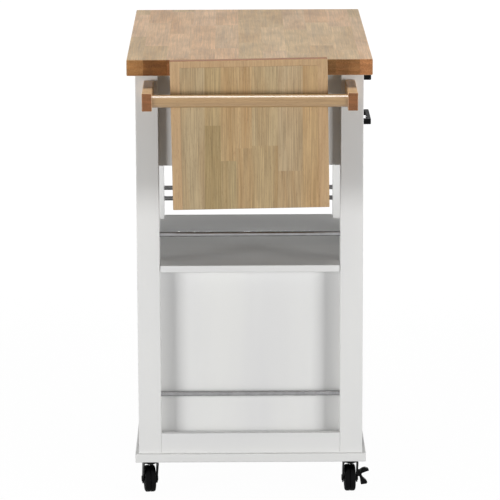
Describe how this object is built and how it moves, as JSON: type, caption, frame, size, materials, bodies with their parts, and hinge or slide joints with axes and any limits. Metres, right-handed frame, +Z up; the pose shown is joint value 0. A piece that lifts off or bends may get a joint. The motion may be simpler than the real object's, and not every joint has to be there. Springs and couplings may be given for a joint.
{
  "type": "kitchen island cart",
  "caption": "Rolling kitchen island with a hardwood worktop, drawers, open shelf, lower cubby, guard rods, end towel bar, hung chopping board and swivel casters.",
  "frame": {"origin": "on the floor, under the middle of the whole outline", "axes": "+Z up; +X the way the drawers open; -Y end carries the towel bar and the hung board"},
  "size_m": [0.49, 0.765, 0.9209],
  "materials": {
    "hardwood": "oiled edge-glued hardwood",
    "board_wood": "oiled edge-glued hardwood",
    "lipping_wood": "oiled hardwood strip",
    "white_paint": "satin white lacquer",
    "drawer_wood": "clear-lacquered plywood",
    "chromed_steel": "polished",
    "zinc_steel": "zinc plated",
    "dark_steel": "phosphated",
    "brass": "turned",
    "black_metal": "satin black",
    "black_rubber": "moulded, matt",
    "black_plastic": "moulded, matt"
  },
  "bodies": {
    "frame": {"worktop": "hardwood", "base_plate": "white_paint", "mid_shelf": "white_paint", "case_back": "white_paint", "case_bottom": "white_paint", "lower_back": "white_paint", "towel_dowel": "hardwood", "worktop_clips": "dark_steel", "runner_channels": "zinc_steel", "leg_inserts": "brass", "frame_screws": "zinc_steel", "case_panel_towel": "white_paint", "end_panel_towel": "white_paint", "end_rail_towel": "white_paint", "rods_towel_end": "chromed_steel", "leg_towel_front": "white_paint", "leg_towel_back": "white_paint", "case_panel_far": "white_paint", "end_panel_far": "white_paint", "end_rail_far": "white_paint", "rods_far_end": "chromed_steel", "leg_far_front": "white_paint", "leg_far_back": "white_paint", "stretcher_front": "white_paint", "towel_arm_front": "hardwood", "stretcher_back": "white_paint", "towel_arm_back": "hardwood", "caster_stem_towel_front": "zinc_steel", "caster_stem_towel_back": "zinc_steel", "caster_stem_far_front": "zinc_steel", "caster_stem_far_back": "zinc_steel"},
    "board": {"board_panel": "board_wood", "board_lipping": "lipping_wood", "board_clips": "dark_steel"},
    "drawer_lower": {"drawer_lower_front": "white_paint", "drawer_lower_box": "drawer_wood", "drawer_lower_bottom": "drawer_wood", "drawer_lower_rails": "zinc_steel", "drawer_lower_pull": "black_metal", "drawer_lower_pull_screws": "zinc_steel"},
    "drawer_upper": {"drawer_upper_front": "white_paint", "drawer_upper_box": "drawer_wood", "drawer_upper_bottom": "drawer_wood", "drawer_upper_rails": "zinc_steel", "drawer_upper_pull": "black_metal", "drawer_upper_pull_screws": "zinc_steel"},
    "swivel_towel_front": {"caster_fork_towel_front": "black_metal", "caster_axle_towel_front": "zinc_steel"},
    "wheel_towel_front": {"caster_wheel_towel_front": "black_rubber"},
    "swivel_towel_back": {"caster_fork_towel_back": "black_metal", "caster_axle_towel_back": "zinc_steel"},
    "wheel_towel_back": {"caster_wheel_towel_back": "black_rubber"},
    "swivel_far_front": {"caster_fork_far_front": "black_metal", "caster_axle_far_front": "zinc_steel"},
    "wheel_far_front": {"caster_wheel_far_front": "black_rubber"},
    "swivel_far_back": {"caster_fork_far_back": "black_metal", "caster_axle_far_back": "zinc_steel"},
    "wheel_far_back": {"caster_wheel_far_back": "black_rubber"},
    "brake_towel_front": {"brake_rocker_towel_front": "black_plastic"},
    "brake_far_front": {"brake_rocker_far_front": "black_plastic"}
  },
  "joints": [
    {"name": "board_lift", "type": "slide", "parent": "frame", "child": "board", "axis": [0, 0, 1], "range_m": [0, 0.33]},
    {"name": "drawer_lower_slide", "type": "slide", "parent": "frame", "child": "drawer_lower", "axis": [1, 0, 0], "range_m": [0, 0.28]},
    {"name": "drawer_upper_slide", "type": "slide", "parent": "frame", "child": "drawer_upper", "axis": [1, 0, 0], "range_m": [0, 0.28]},
    {"name": "swivel_towel_front_turn", "type": "hinge", "parent": "frame", "child": "swivel_towel_front", "pos_m": [0.19875, -0.19975, 0.0708], "axis": [0, 0, 1], "continuous": true},
    {"name": "wheel_towel_front_spin", "type": "hinge", "parent": "swivel_towel_front", "child": "wheel_towel_front", "pos_m": [0.19798, -0.17776, 0.0275], "axis": [0.9994, 0.0349, 0], "continuous": true},
    {"name": "brake_towel_front_press", "type": "hinge", "parent": "swivel_towel_front", "child": "brake_towel_front", "pos_m": [0.21771, -0.18408, 0.04], "axis": [-0.0349, 0.9994, 0], "range_deg": [0, 12]},
    {"name": "swivel_towel_back_turn", "type": "hinge", "parent": "frame", "child": "swivel_towel_back", "pos_m": [-0.20875, -0.19975, 0.0708], "axis": [0, 0, 1], "continuous": true},
    {"name": "wheel_towel_back_spin", "type": "hinge", "parent": "swivel_towel_back", "child": "wheel_towel_back", "pos_m": [-0.21143, -0.17791, 0.0275], "axis": [0.9925, 0.1219, 0], "continuous": true},
    {"name": "swivel_far_front_turn", "type": "hinge", "parent": "frame", "child": "swivel_far_front", "pos_m": [0.19875, 0.26475, 0.0708], "axis": [0, 0, 1], "continuous": true},
    {"name": "wheel_far_front_spin", "type": "hinge", "parent": "swivel_far_front", "child": "wheel_far_front", "pos_m": [0.20181, 0.28654, 0.0275], "axis": [0.9903, -0.1392, 0], "continuous": true},
    {"name": "brake_far_front_press", "type": "hinge", "parent": "swivel_far_front", "child": "brake_far_front", "pos_m": [0.22015, 0.27689, 0.04], "axis": [0.1392, 0.9903, 0], "range_deg": [0, 12]},
    {"name": "swivel_far_back_turn", "type": "hinge", "parent": "frame", "child": "swivel_far_back", "pos_m": [-0.20875, 0.26475, 0.0708], "axis": [0, 0, 1], "continuous": true},
    {"name": "wheel_far_back_spin", "type": "hinge", "parent": "swivel_far_back", "child": "wheel_far_back", "pos_m": [-0.21257, 0.28642, 0.0275], "axis": [0.9848, 0.1736, 0], "continuous": true}
  ]
}
